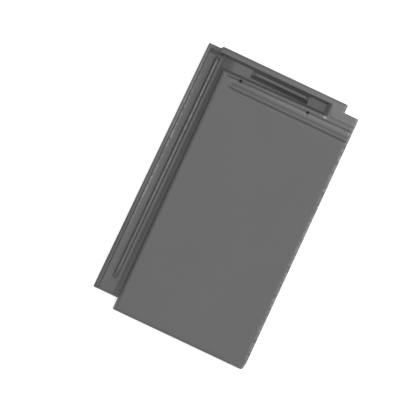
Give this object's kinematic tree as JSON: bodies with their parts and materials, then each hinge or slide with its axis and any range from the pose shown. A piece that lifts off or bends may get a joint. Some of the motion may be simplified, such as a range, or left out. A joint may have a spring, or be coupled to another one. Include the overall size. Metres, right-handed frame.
{
  "type": "interlocking clay roof tile",
  "caption": "Flat interlocking clay roof tile with a ribbed side lock, a pocketed head lock, nail holes, a foot lip and a hanging nib, finished in dark grey engobe.",
  "frame": {"origin": "middle of the tile's outline, on the level it lies on (foot lip and nib)", "axes": "+Y up the roof from foot to head, +X across from side lock to overlock, +Z out of the visible face"},
  "size_m": [0.2768, 0.46, 0.038],
  "materials": {
    "engobed_clay": "satin engobe"
  },
  "bodies": {
    "root": {"roof_tile": "engobed_clay"}
  },
  "joints": []
}
